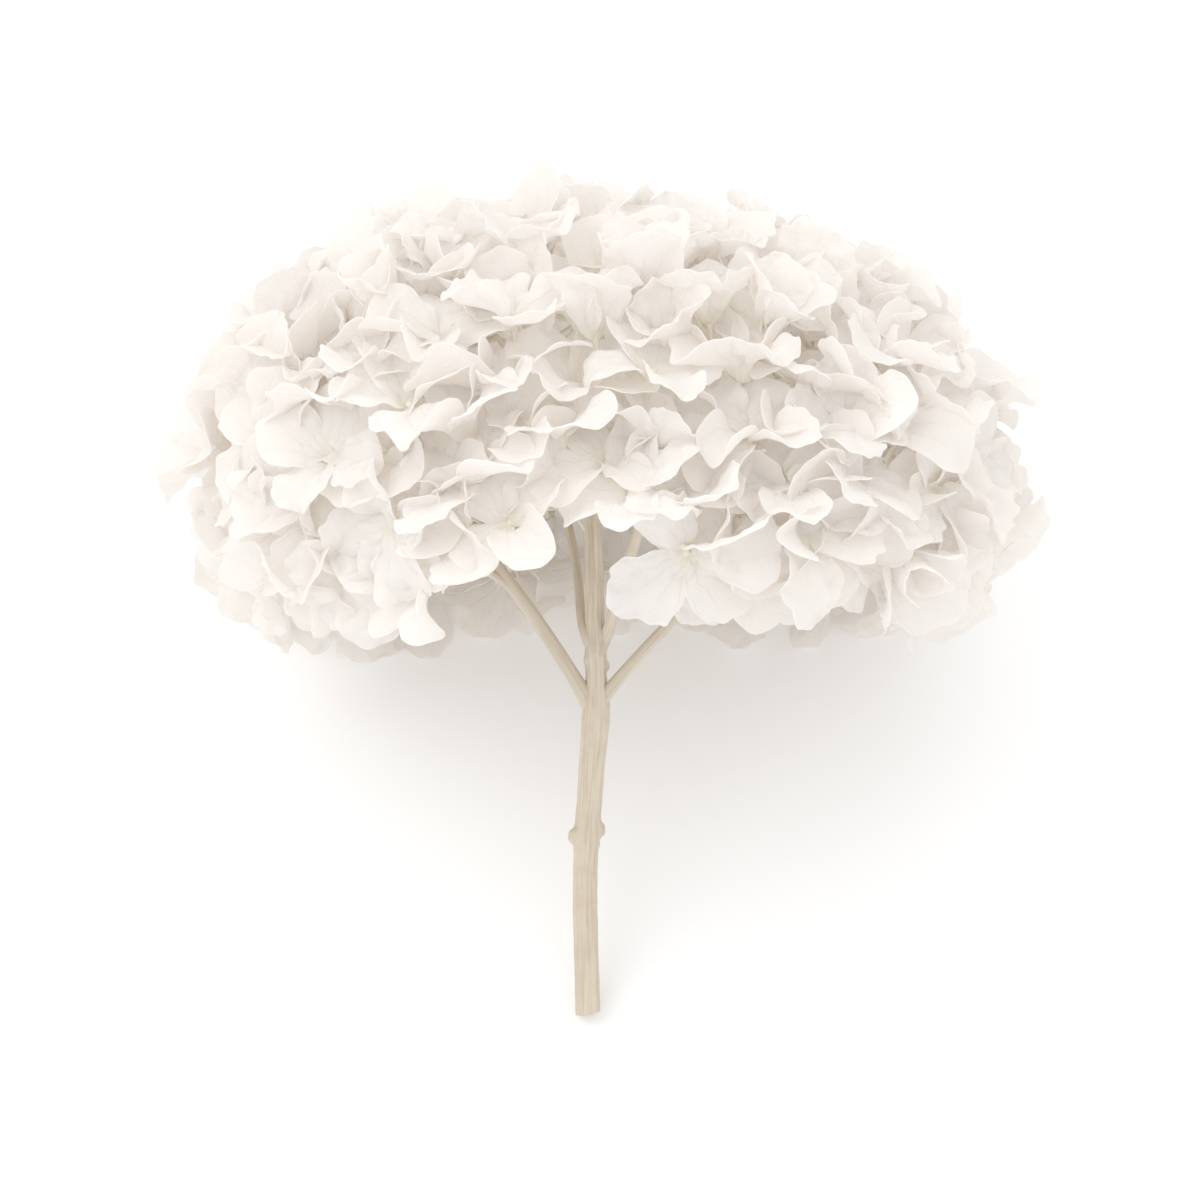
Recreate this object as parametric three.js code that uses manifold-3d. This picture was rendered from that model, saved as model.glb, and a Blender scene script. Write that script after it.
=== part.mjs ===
// A cut hydrangea lying on a surface: a woody stem, seven flower branches and the florets of its round head.
// It is laid out as it grew, with Y up the stem and Z towards the front of the head, and is then leaned over
// until the stem's cut end and the pressed side of the head touch the surface.
// Lengths are millimetres and angles are degrees.

import * as THREE from "three";
import Module from "manifold-3d";
import { mergeVertices } from "three/addons/utils/BufferGeometryUtils.js";

const wasm = await Module();
wasm.setup();

// Driving dimensions: the stem. Heights are measured along the stem from its cut end.
const STEM_RADIUS = 3.1;
const STEM_TOP_RADIUS = 2.1;
const FIRST_FORK = 77; // where the left and right branches leave
const SECOND_FORK = FIRST_FORK + 13; // where the front and back branches leave
const SCAR_HEIGHT = 45; // the pair of leaf scars
const SCAR_RADIUS = 1.9;
const FORK_SWELL = 0.8; // how much thicker the stem is just under the first fork
const CUT_SLANT = 17;

// Driving dimensions: the head, measured to the middle of its florets.
const RING_HEIGHT = SECOND_FORK + 43; // its widest ring
const HEAD_HALF_WIDTH = 100;
const HEAD_HALF_DEPTH = 92;
const HEAD_RISE = 69; // from the widest ring to the top
const HEAD_UNDER = 60; // the curve below the ring, if it were whole
const RIM_DROP = 28; // how far below the ring the lowest florets are
const HEAD_OFFSET = 3; // sideways from the stem
const CROWN_SHIFT = -5; // sideways at the top, from the middle of the ring
const STEM_TOP = RING_HEIGHT + 10; // where the stem ends, inside the head

// Driving dimensions: one floret and its stalk.
const FLORETS = 52;
const FLORET_REACH = 19.5; // from its middle to the tip of a sepal
const FLORET_CUP = 3.2; // how far the tips stand in front of the middle
const SEPALS = 4;
const SEPAL_THICKNESS = 0.7;
const NOTCH_SHARE = 0.6; // the reach between two sepals, as a share of the reach at a tip
const NOTCH_DIP = 1.2; // how far the sheet falls back between two sepals
const MIDDLE_SHARE = 0.5; // where the cup's curve is carried by a ring of corners
const BUD_RADIUS = 1.5;
const STALK_LENGTH = 11;
const STALK_RADIUS = 0.75;
const RAY_RADIUS = 0.9; // the twigs inside the head that carry the stalks
const RAY_BEND = 4; // how far behind the stalk a twig turns into its line

// How it lies.
const LEAN = 30; // of the stem above the surface
const REST_HEIGHT = 5; // of the middle of a floret that is pressed on the surface
const PRESS_BLEND = 4; // over which a floret goes from free to pressed
const FLAT_AT = 9; // how far the surface must push a floret up to turn it flat down
const KNOT_PULL = 0.3; // how much a floret faces away from its knot and not straight out of the head
const TOUCHING = 2; // a floret nearer to the surface than this comes down onto it
const GAP = 0.3; // between pieces that meet
const FLORET_GAP = 0.8; // between the tips of neighbouring florets

// The florets that face the front: sideways as a share of the half width, and up as a share of the rise above the
// ring or of the curve below it.
const FRONT_FLORETS = [
  [-0.86, 0.11], [-0.49, 0.65], [-0.54, -0.27], [-0.13, 0.17], [0.12, 0.73],
  [0.14, -0.44], [0.38, 0.17], [0.54, -0.46], [0.7, 0.45], [0.84, -0.03],
];
// The gap in the front of the rim, through which the branches show, given in the same way.
const RIM_GAP = [-0.2, -0.47];

// Each branch's radius, the height where it leaves the stem, how far it bows up on its way, and the knot its twigs
// spread from: sideways, up and forwards as shares of the head's half width, rise and half depth.
const BRANCHES = {
  branch_left: { radius: 1.7, leaves: FIRST_FORK - 3, bow: 7, knot: [-0.52, 0.02, 0.02] },
  branch_right: { radius: 1.3, leaves: FIRST_FORK - 1, bow: 3, knot: [0.5, -0.05, 0.02] },
  branch_front: { radius: 1.5, leaves: SECOND_FORK - 2, bow: 3, knot: [0.11, -0.03, 0.49] },
  branch_back: { radius: 1.2, leaves: SECOND_FORK - 2, bow: 4, knot: [-0.13, 0.04, -0.45] },
  branch_upper_left: { radius: 1.4, leaves: STEM_TOP - 14, bow: 2, knot: [-0.39, 0.49, 0.15] },
  branch_upper_right: { radius: 1.4, leaves: STEM_TOP - 10, bow: 2, knot: [0.35, 0.46, -0.05] },
  branch_top: { radius: 1.3, leaves: STEM_TOP - 2, bow: 0, knot: [-0.02, 0.59, -0.05] },
};

// How the florets are spread and how finely round things are cut.
const SPREAD_TRIES = 500;
const SPREAD_STEPS = 150;
const SPREAD_SPACING = 2 * FLORET_REACH;
const SPREAD_PUSH = 0.3; // how much of the lack of room is made up in one step
const SPREAD_LOW = -0.4; // how far down the tries point
const SEPAL_SPOKES = 4;
const BUILD_SIDES = { stem: 10, branch: 7, twig: 5 };
const COLOURS = { floret: 0xf4efe6, stem: 0xd8ccb2, branch: 0xe0d6bf };

const rad = THREE.MathUtils.degToRad;
const floorNormal = new THREE.Vector3(0, Math.sin(rad(LEAN)), Math.cos(rad(LEAN)));

// A number from -1 to 1 that varies with the index and stays the same on every run.
function vary(index, salt) {
  const wave = Math.sin(index * 12.9898 + salt * 78.233) * 43758.5453;
  return (wave - Math.floor(wave)) * 2 - 1;
}

// A closed geometry as a solid.
function solidOf(geometry) {
  const bare = new THREE.BufferGeometry().setAttribute("position", geometry.getAttribute("position"));
  if (geometry.index) bare.setIndex(geometry.index);
  const merged = mergeVertices(bare, 1e-4);
  const corners = [];
  for (let i = 0; i < merged.index.count; i += 3) {
    const [a, b, c] = [0, 1, 2].map((k) => merged.index.getX(i + k));
    if (a !== b && b !== c && c !== a) corners.push(a, b, c);
  }
  const vertProperties = merged.attributes.position.array;
  const triVerts = new Uint32Array(corners);
  return new wasm.Manifold(new wasm.Mesh({ numProp: 3, vertProperties, triVerts }));
}

function meshOf(solid, name, colour) {
  const { vertProperties, triVerts, numProp } = solid.getMesh();
  const places = new Float32Array((vertProperties.length / numProp) * 3);
  for (let i = 0; i < places.length / 3; i++) {
    places.set(vertProperties.subarray(i * numProp, i * numProp + 3), i * 3);
  }
  const geometry = new THREE.BufferGeometry().setAttribute("position", new THREE.BufferAttribute(places, 3));
  geometry.setIndex(new THREE.BufferAttribute(new Uint32Array(triVerts), 1));
  geometry.computeVertexNormals();
  const material = new THREE.MeshStandardMaterial({ color: colour, roughness: 0.8, metalness: 0 });
  const mesh = new THREE.Mesh(geometry, material);
  mesh.name = name;
  return mesh;
}

// A closed tube along a smooth curve through the points, whose radius follows radiusAt(share of the length).
function taperedTube(points, radiusAt, sides, steps) {
  const curve = new THREE.CatmullRomCurve3(points);
  const shares = Array.from({ length: steps + 1 }, (_, i) => i / steps);
  const profile = [
    new THREE.Vector2(0, 0),
    ...shares.map((share, i) => new THREE.Vector2(radiusAt(share), i)),
    new THREE.Vector2(0, steps),
  ];
  const tube = new THREE.LatheGeometry(profile, sides);
  const { normals, binormals } = curve.computeFrenetFrames(steps);
  const places = tube.getAttribute("position");
  for (let i = 0; i < places.count; i++) {
    const ring = Math.round(places.getY(i));
    const place = curve.getPointAt(shares[ring]);
    place.addScaledVector(normals[ring], places.getX(i));
    place.addScaledVector(binormals[ring], -places.getZ(i));
    places.setXYZ(i, place.x, place.y, place.z);
  }
  return solidOf(tube);
}

// The middle line of the stem, which sways sideways on its way up.
const stemLine = [
  [-2, 0], [-2.7, 0.45 * FIRST_FORK], [-1.2, 0.78 * FIRST_FORK], [0, FIRST_FORK],
  [-0.4, SECOND_FORK + 10], [-1, STEM_TOP],
].map(([sideways, height]) => new THREE.Vector3(sideways, height, 0));

// The point of the stem's middle line at a height.
function stemPoint(height) {
  const above = Math.max(stemLine.findIndex((point) => point.y >= height), 1);
  const [low, high] = [stemLine[above - 1], stemLine[above]];
  return low.clone().lerp(high, (height - low.y) / (high.y - low.y));
}

// The stem, or the same shape grown by a clearance, to cut what meets it.
function stemSolid(clearance = 0) {
  const neck = FIRST_FORK / STEM_TOP;
  const radiusAt = (share) => {
    const slim = THREE.MathUtils.smoothstep(share, neck, neck + 0.1);
    const swell = Math.exp(-(((share - neck + 0.03) / 0.04) ** 2)) * FORK_SWELL;
    return THREE.MathUtils.lerp(STEM_RADIUS, STEM_TOP_RADIUS, slim) + swell + clearance;
  };
  let stem = taperedTube(stemLine, radiusAt, BUILD_SIDES.stem, 20);
  for (const side of [-1, 1]) {
    const scar = new THREE.SphereGeometry(SCAR_RADIUS + clearance, 8, 6);
    scar.scale(1, 1.25, 1.1);
    const middle = stemPoint(SCAR_HEIGHT + side);
    scar.translate(middle.x + side * STEM_RADIUS, middle.y, 0);
    stem = stem.add(solidOf(scar));
  }
  const size = STEM_RADIUS * 6;
  const waste = new THREE.BoxGeometry(size, size, size);
  waste.translate(0, -size / 2, 0);
  waste.rotateZ(rad(CUT_SLANT));
  waste.translate(stemLine[0].x, STEM_RADIUS * Math.tan(rad(CUT_SLANT)), 0);
  return stem.subtract(solidOf(waste));
}

// The way from the middle of the head's widest ring to its surface in a direction.
function reachOfHead(direction) {
  const rise = direction.y > 0 ? HEAD_RISE : HEAD_UNDER;
  const far = Math.hypot(direction.x / HEAD_HALF_WIDTH, direction.y / rise, direction.z / HEAD_HALF_DEPTH);
  return direction.clone().divideScalar(far);
}

// The point of the head's surface in a direction, before it is pressed.
function headPoint(direction) {
  const way = reachOfHead(direction);
  const crown = (CROWN_SHIFT * Math.max(way.y, 0)) / HEAD_RISE;
  return way.add(new THREE.Vector3(HEAD_OFFSET + crown, RING_HEIGHT, 0));
}

// The point moved straight up, where it would be in the surface or too near to it.
function pressed(point) {
  const over = heightOver(point) - REST_HEIGHT;
  const kept = PRESS_BLEND * Math.log1p(Math.exp(Math.min(over / PRESS_BLEND, 30)));
  return point.clone().addScaledVector(floorNormal, Math.max(kept, over) - over);
}

// The direction from the ring's middle to a front floret.
function frontDirection([sideways, up]) {
  const forwards = Math.sqrt(1 - sideways ** 2 - up ** 2);
  const rise = up > 0 ? HEAD_RISE : HEAD_UNDER;
  return new THREE.Vector3(sideways * HEAD_HALF_WIDTH, up * rise, forwards * HEAD_HALF_DEPTH).normalize();
}

// The direction turned up to the head's rim, where it points under it.
function keptOverRim(direction) {
  if (reachOfHead(direction).y >= -RIM_DROP) return direction;
  const side = Math.hypot(direction.x, direction.z);
  const [x, z] = [direction.x / side, direction.z / side];
  const ring = 1 / Math.hypot(x / HEAD_HALF_WIDTH, z / HEAD_HALF_DEPTH);
  const rim = ring * Math.sqrt(1 - (RIM_DROP / HEAD_UNDER) ** 2);
  return direction.set(x * rim, -RIM_DROP, z * rim).normalize();
}

// Directions from the ring's middle to every floret: the front ones, and the others spread between them. The gap
// in the rim is held open like a floret, and is left out at the end.
function spreadDirections() {
  const all = [...FRONT_FLORETS, RIM_GAP].map(frontDirection);
  const held = all.length;
  const turn = Math.PI * (3 - Math.sqrt(5));
  const tries = Array.from({ length: SPREAD_TRIES }, (_, i) => {
    const up = THREE.MathUtils.lerp(1, SPREAD_LOW, (i + 0.5) / SPREAD_TRIES);
    const across = Math.sqrt(1 - up * up);
    return keptOverRim(new THREE.Vector3(across * Math.cos(i * turn), up, across * Math.sin(i * turn)));
  });
  // Each next floret takes the place that is furthest from all the others.
  const spots = tries.map((direction) => pressed(headPoint(direction)));
  const room = spots.map(() => Infinity);
  const take = (place) => spots.forEach((spot, i) => {
    room[i] = Math.min(room[i], spot.distanceTo(place));
  });
  all.forEach((direction) => take(pressed(headPoint(direction))));
  while (all.length <= FLORETS) {
    const best = room.indexOf(Math.max(...room));
    all.push(tries[best].clone());
    take(spots[best]);
  }
  // Then they push each other apart, along the head.
  for (let step = 0; step < SPREAD_STEPS; step++) {
    const places = all.map((direction) => pressed(headPoint(direction)));
    for (let i = held; i < all.length; i++) {
      const push = new THREE.Vector3();
      places.forEach((other, j) => {
        const away = places[i].clone().sub(other);
        const lack = SPREAD_SPACING - away.length();
        if (j !== i && lack > 0) push.addScaledVector(away.normalize(), lack * SPREAD_PUSH);
      });
      keptOverRim(all[i].copy(reachOfHead(all[i]).add(push).normalize()));
    }
  }
  return all.filter((_, i) => i !== held - 1);
}

// The way a floret faces: out of the head, away from its knot, and flat down where it is pressed.
function facing(direction, place, knot) {
  const rise = direction.y > 0 ? HEAD_RISE : HEAD_UNDER;
  const curve = new THREE.Vector3(HEAD_HALF_WIDTH ** 2, rise ** 2, HEAD_HALF_DEPTH ** 2);
  const out = direction.clone().divide(curve).normalize();
  const face = out.lerp(place.clone().sub(knot).normalize(), KNOT_PULL).normalize();
  const lifted = heightOver(place) - heightOver(headPoint(direction));
  const share = THREE.MathUtils.smoothstep(lifted, 0, FLAT_AT);
  return face.multiplyScalar(1 - share).addScaledVector(floorNormal, -share).normalize();
}

// One floret facing +Z with its middle at the origin: four sepals in one thin cupped sheet, with the bud
// raised from its middle and the stalk behind it.
function floretSolid(reach) {
  const spokes = SEPALS * SEPAL_SPOKES;
  const budShare = BUD_RADIUS / reach;
  const places = [];
  // One corner of the sheet: its share of the reach, its spoke, and the front (1) or the back (-1).
  const place = (share, spoke, side) => {
    const off = 1 - Math.abs((spoke % SEPAL_SPOKES) / SEPAL_SPOKES - 0.5) * 2; // 1 between two sepals
    const lobe = share > budShare ? THREE.MathUtils.lerp(1, NOTCH_SHARE, off ** 1.6) : 1;
    const angle = (spoke / spokes) * Math.PI * 2;
    const lift = FLORET_CUP * share ** 2 - NOTCH_DIP * off * share;
    const far = reach * share * lobe;
    places.push(far * Math.cos(angle), far * Math.sin(angle), lift + (side * SEPAL_THICKNESS) / 2);
  };
  const faces = [];
  // Rings from the middle outwards, each joined to the last, on the front and then on the back.
  const edges = [[budShare, MIDDLE_SHARE, 1], [MIDDLE_SHARE, 1]].map((rings, back) => {
    const side = back ? -1 : 1;
    let inner = places.length / 3;
    place(0, 0, side);
    if (!back) places[places.length - 1] += BUD_RADIUS;
    rings.forEach((share, ring) => {
      const outer = places.length / 3;
      for (let spoke = 0; spoke < spokes; spoke++) {
        const next = (spoke + 1) % spokes;
        const [a, b] = [outer + spoke, outer + next];
        place(share, spoke, side);
        const quad = ring === 0 ? [inner, a, b] : [inner + spoke, a, b, inner + spoke, b, inner + next];
        faces.push(...(back ? quad.toReversed() : quad));
      }
      inner = outer;
    });
    return inner;
  });
  for (let spoke = 0; spoke < spokes; spoke++) {
    const next = (spoke + 1) % spokes;
    const [front, back] = edges;
    faces.push(front + spoke, back + spoke, back + next, front + spoke, back + next, front + next);
  }
  const sheet = new THREE.BufferGeometry();
  sheet.setAttribute("position", new THREE.BufferAttribute(new Float32Array(places), 3)).setIndex(faces);
  const ends = [new THREE.Vector3(0, 0, -STALK_LENGTH), new THREE.Vector3()];
  return solidOf(sheet).add(taperedTube(ends, () => STALK_RADIUS, BUILD_SIDES.twig, 1));
}

// The lowest corner of a mesh along the surface's own direction.
function lowestOf(mesh) {
  const corners = mesh.geometry.getAttribute("position");
  let lowest = Infinity;
  for (let i = 0; i < corners.count; i++) {
    const corner = new THREE.Vector3().fromBufferAttribute(corners, i).applyMatrix4(mesh.matrix);
    lowest = Math.min(lowest, corner.dot(floorNormal));
  }
  return lowest;
}

const flower = new THREE.Group();
flower.name = "flower";
flower.rotation.x = rad(LEAN);
const stem = meshOf(stemSolid(), "stem", COLOURS.stem);
flower.add(stem);

// The surface touches the lowest corner of the stem.
const floorLevel = lowestOf(stem);
const heightOver = (point) => point.dot(floorNormal) - floorLevel;

const headSize = new THREE.Vector3(HEAD_HALF_WIDTH, HEAD_RISE, HEAD_HALF_DEPTH);
const knots = Object.fromEntries(
  Object.entries(BRANCHES).map(([name, { knot }]) => {
    const point = new THREE.Vector3(...knot).multiply(headSize);
    return [name, point.add(new THREE.Vector3(HEAD_OFFSET, RING_HEIGHT, 0))];
  }),
);
const directions = spreadDirections();
const places = directions.map((direction) => pressed(headPoint(direction)));

// How far each floret reaches: its full size, or less where a neighbour is near.
const reaches = places.map((place, i) => {
  const nearest = Math.min(...places.map((other, j) => (i === j ? Infinity : place.distanceTo(other))));
  return Math.min(FLORET_REACH, (nearest - FLORET_GAP) / 2);
});

const rays = Object.fromEntries(Object.keys(BRANCHES).map((name) => [name, []]));
places.forEach((place, i) => {
  const home = Object.keys(knots).reduce((a, b) =>
    place.distanceTo(knots[a]) < place.distanceTo(knots[b]) ? a : b);
  const face = facing(directions[i], place, knots[home]);
  const turn = new THREE.Quaternion().setFromUnitVectors(new THREE.Vector3(0, 0, 1), face);
  const spin = new THREE.Quaternion().setFromAxisAngle(new THREE.Vector3(0, 0, 1), rad(45) * vary(i, 1));
  const solid = floretSolid(reaches[i]);
  const floret = meshOf(solid, `floret_${String(i + 1).padStart(2, "0")}`, COLOURS.floret);
  floret.position.copy(place);
  floret.quaternion.copy(turn.multiply(spin));
  // A floret that is pressed comes down to the surface itself.
  floret.updateMatrix();
  const over = lowestOf(floret) - floorLevel;
  if (over < TOUCHING) floret.position.addScaledVector(floorNormal, -over);
  floret.updateMatrix();
  flower.add(floret);
  const end = new THREE.Vector3(0, 0, -STALK_LENGTH - GAP).applyMatrix4(floret.matrix);
  const bend = new THREE.Vector3(0, 0, -STALK_LENGTH - RAY_BEND).applyMatrix4(floret.matrix);
  rays[home].push([bend, end]);
});

const stemCutter = stemSolid(GAP);
for (const [name, { radius, leaves, bow }] of Object.entries(BRANCHES)) {
  const [start, knot] = [stemPoint(leaves), knots[name]];
  const middle = start.clone().lerp(knot, 0.5);
  middle.y += bow;
  const taper = (share) => radius * (1.15 - 0.3 * share);
  let branch = taperedTube([start, middle, knot], taper, BUILD_SIDES.branch, 8);
  for (const [bend, end] of rays[name]) {
    branch = branch.add(taperedTube([knot, bend, end], () => RAY_RADIUS, BUILD_SIDES.twig, 4));
  }
  flower.add(meshOf(branch.subtract(stemCutter), name, COLOURS.branch));
}

// The part's origin is on the surface, under the middle of its box.
const part = new THREE.Group();
part.add(flower);
part.updateMatrixWorld(true);
const box = new THREE.Box3().setFromObject(part, true);
const middle = box.getCenter(new THREE.Vector3());
flower.position.set(-middle.x, -middle.y, -box.min.z);

export default part;
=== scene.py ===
"""A preserved hydrangea that lies on a pale floor: stem, branches and a head of many four-sepalled florets.

The CAD gives the stem, seven branches and the 52 florets that carry the head. Here the stem gets a grooved
bark and each branch its twigs. Each CAD floret becomes a finished one, with about four more beside it. The
shapes are worked out in the flower's own frame, in millimetres: X sideways, Y up the stem from its cut end
and Z to the front of the head.
"""

import math

import bpy
import numpy as np
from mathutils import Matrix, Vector


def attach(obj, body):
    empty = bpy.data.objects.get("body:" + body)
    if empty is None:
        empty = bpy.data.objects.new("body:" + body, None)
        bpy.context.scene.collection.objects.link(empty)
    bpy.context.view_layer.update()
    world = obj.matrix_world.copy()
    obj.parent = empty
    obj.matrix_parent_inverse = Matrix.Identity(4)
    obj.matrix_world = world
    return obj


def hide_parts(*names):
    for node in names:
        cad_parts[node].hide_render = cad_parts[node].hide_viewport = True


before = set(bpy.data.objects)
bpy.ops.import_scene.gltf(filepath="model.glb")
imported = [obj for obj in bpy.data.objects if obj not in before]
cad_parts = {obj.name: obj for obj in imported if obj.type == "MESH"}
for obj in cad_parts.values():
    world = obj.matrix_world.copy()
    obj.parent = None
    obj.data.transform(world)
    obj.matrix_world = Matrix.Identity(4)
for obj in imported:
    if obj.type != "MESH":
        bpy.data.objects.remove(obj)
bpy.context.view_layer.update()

MM = 0.001
LEAN = math.radians(30)  # how far the stem leans up from the floor

# The head: it is widest at its ring, domed over it and flatter under it, down to its rim.
RING_HEIGHT = 133.0
HALF_WIDTH = 100.0
HALF_DEPTH = 92.0
RISE = 69.0
UNDER = 60.0
RIM_DROP = 28.0
HEAD_OFFSET = 3.0
CROWN_SHIFT = -5.0

# The stem's middle line, across and up, and its radius at some heights.
STEM_TOP = 143.0
STEM_TOP_X = -1.0
STEM_LINE = [(-2, 0.0), (-2.7, 34.65), (-1.2, 60.06), (0, 77), (-0.4, 100), (STEM_TOP_X, STEM_TOP)]
STEM_HEIGHTS = [0, 38, 42, 45.5, 48.5, 53, 64, 70, 74, 77.5, 82, 86, 89.5, 93, 104, 143]
STEM_RADII = [3.05, 2.95, 3.05, 3.3, 3.1, 3.0, 3.1, 3.25, 3.4, 3.2, 2.6, 2.4, 2.6, 2.3, 2.2, 1.6]
CUT_SLANT = math.radians(17)
LEFT, RIGHT = math.pi, 0.0
# Its leaf scars: side, height, how far each stands out, and half its length.
LEAF_SCARS = [
    (LEFT, 44.6, 1.75, 1.8),
    (RIGHT, 46.6, 1.25, 1.8),
    (RIGHT, 87.2, 0.8, 1.2),
    (LEFT, 88.6, 0.55, 1.1),
]
SCAR_RING = 42.6

# Each branch leaves the stem at a height and ends in a knot of twigs. The knot's place is in shares of the
# head's half sizes, from the middle of its ring. bow lifts the branch's middle, and flank is where it goes
# first.
BRANCHES = {
    "branch_left": dict(radius=1.75, leaves=74, bow=7, knot=(-0.52, 0.02, 0.02)),
    "branch_right": dict(radius=1.35, leaves=76, bow=3, knot=(0.5, -0.05, 0.02)),
    "branch_front": dict(radius=1.5, leaves=88, bow=0, flank=(3.3, 7.5, 1.8), knot=(0.11, -0.03, 0.49)),
    "branch_back": dict(radius=1.2, leaves=88, bow=1, flank=(-3.2, 8.5, -1.2), knot=(-0.13, 0.04, -0.45)),
    "branch_upper_left": dict(radius=1.45, leaves=129, bow=2, knot=(-0.39, 0.49, 0.15)),
    "branch_upper_right": dict(radius=1.45, leaves=133, bow=2, knot=(0.35, 0.46, -0.05)),
    "branch_top": dict(radius=1.35, leaves=141, bow=0, knot=(-0.02, 0.59, -0.05)),
}
SIDE_TWIG_FLORET = 34  # the floret that a side twig of the left branch leads to

# The florets.
STALK_LENGTH = 11.0
EXTRA_FLORETS = 206
INSET = 5.0  # how far a floret's middle is inside the head's surface
BUD_RADIUS = 1.02
SEPAL_GRID = 17
SEPAL_THICKNESS = 0.24
# The florets whose faces show at the front: where each is moved, across and up, and how it is turned.
HEROES = {0: (0, 2, 0.7), 2: (1, 2, 0.2), 5: (4.5, 1.5, 0.75), 7: (2, 2, 1.1), 9: (-1, 0, 0.5)}
# The front of the rim has a gap that shows the branches: a wide part beside the stem and a small one over it.
# Each is given across, down and forward, in shares of the head's half sizes, and by how far off it keeps
# florets.
GAPS = [(-0.21, 0.6, 0.8, 13), (-0.07, 0.4, 0.91, 9)]
# Places that are tried for the extra florets, the lowest of them on a sphere, and how far under the rim they
# go.
TRIES = 3200
LOWEST_TRY = -0.47
RIM_SPARE = 4.0
LYING = 12.0  # a floret whose middle is under this height lies flat on the floor
HALF_CLOSED_CHANCE = 0.28

# Near the floor, soft pieces are pressed: from the first height down, they crowd together over the second.
PRESS_FROM = 4.0
PRESS_TO = 0.35
FLOOR_GAP = 0.04  # how far over the floor a hard piece is kept

SEPAL_SLOT, BUD_SLOT, STALK_SLOT = 0, 1, 2
CELL_MARGIN = 0.02  # round each cell of the map
SHARP_EDGE = math.radians(62)

rng = np.random.default_rng(21)
up = np.array([0.0, 1.0, 0.0])
floor_way = np.array([0, math.sin(LEAN), math.cos(LEAN)])  # straight up from the floor

# From the flower's frame to the world: a turn about X, then a shift.
TURN = np.array(
    [
        [1, 0, 0],
        [0, math.cos(LEAN), -math.sin(LEAN)],
        [0, math.sin(LEAN), math.cos(LEAN)],
    ]
)


def node_mesh(name):
    """The corners of a CAD node, in millimetres, and its triangles."""
    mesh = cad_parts[name].data
    corners = np.empty(len(mesh.vertices) * 3, np.float32)
    mesh.vertices.foreach_get("co", corners)
    mesh.calc_loop_triangles()
    triangles = np.empty(len(mesh.loop_triangles) * 3, np.int32)
    mesh.loop_triangles.foreach_get("vertices", triangles)
    return corners.reshape(-1, 3).astype(float) / MM, triangles.reshape(-1, 3)


def unit(v):
    return v / np.maximum(np.linalg.norm(v, axis=-1, keepdims=True), 1e-9)


def flower_origin():
    """Where the flower's frame starts in the world: the CAD stem's top end gives it."""
    corners = node_mesh("stem")[0] @ TURN
    end = corners[:, 1].max()
    cap = corners[corners[:, 1] > end - 0.3]
    across = cap[:, 0].min() / 2 + cap[:, 0].max() / 2
    front = cap[:, 2].min() / 2 + cap[:, 2].max() / 2
    return TURN @ np.array([across - STEM_TOP_X, end - STEM_TOP, front])


ORIGIN = flower_origin()


def to_world(points):
    return points @ TURN.T + ORIGIN


def to_flower(points):
    return (points - ORIGIN) @ TURN


def height_over(points):
    """How far points of the flower's frame are over the floor."""
    return to_world(points)[..., 2]


# ---------------------------------------------------------------- the head


def head_way(direction):
    """From the middle of the widest ring to the head's surface, along a direction."""
    rise = np.where(direction[..., 1] > 0, RISE, UNDER)
    far = np.sqrt(
        (direction[..., 0] / HALF_WIDTH) ** 2
        + (direction[..., 1] / rise) ** 2
        + (direction[..., 2] / HALF_DEPTH) ** 2
    )
    return direction / far[..., None]


def head_point(direction):
    way = head_way(direction)
    crown = CROWN_SHIFT * np.maximum(way[..., 1], 0) / RISE
    point = way + np.array([HEAD_OFFSET, RING_HEIGHT, 0])
    point[..., 0] += crown
    return point


def head_normal(direction):
    rise = np.where(direction[..., 1] > 0, RISE, UNDER)
    size = np.stack([np.full_like(rise, HALF_WIDTH), rise, np.full_like(rise, HALF_DEPTH)], -1)
    return unit(direction / size**2)


def pressed(points, rest=5.0, blend=4.0):
    """The points moved straight up from the floor, where they would be in it."""
    over = height_over(points) - rest
    kept = blend * np.log1p(np.exp(np.clip(over / blend, -60, 30)))
    return points + (np.maximum(kept, over) - over)[..., None] * floor_way


def read_floret(name):
    """The middle, facing and reach of a CAD floret, in the flower's frame."""
    corners, triangles = node_mesh(name)
    a, b, c = (corners[triangles[:, i]] for i in range(3))
    area = np.linalg.norm(np.cross(b - a, c - a), axis=1) / 2
    middle = (a + b + c) / 3
    centre = (middle * area[:, None]).sum(0) / area.sum()
    away = middle - centre
    spread = (away * area[:, None]).T @ away
    facing = np.linalg.eigh(spread)[1][:, 0]
    # The stalk is the longer way out of the floret's plane.
    along = (corners - centre) @ facing
    if -along.min() < along.max():
        facing, along = -facing, -along
    foot = corners[along < along.min() + 0.4]
    foot = (foot.min(0) + foot.max(0)) / 2
    place = foot + STALK_LENGTH * facing
    flat = corners - place
    flat = flat - (flat @ facing)[:, None] * facing
    return to_flower(place), facing @ TURN, np.linalg.norm(flat, axis=1).max()


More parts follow.
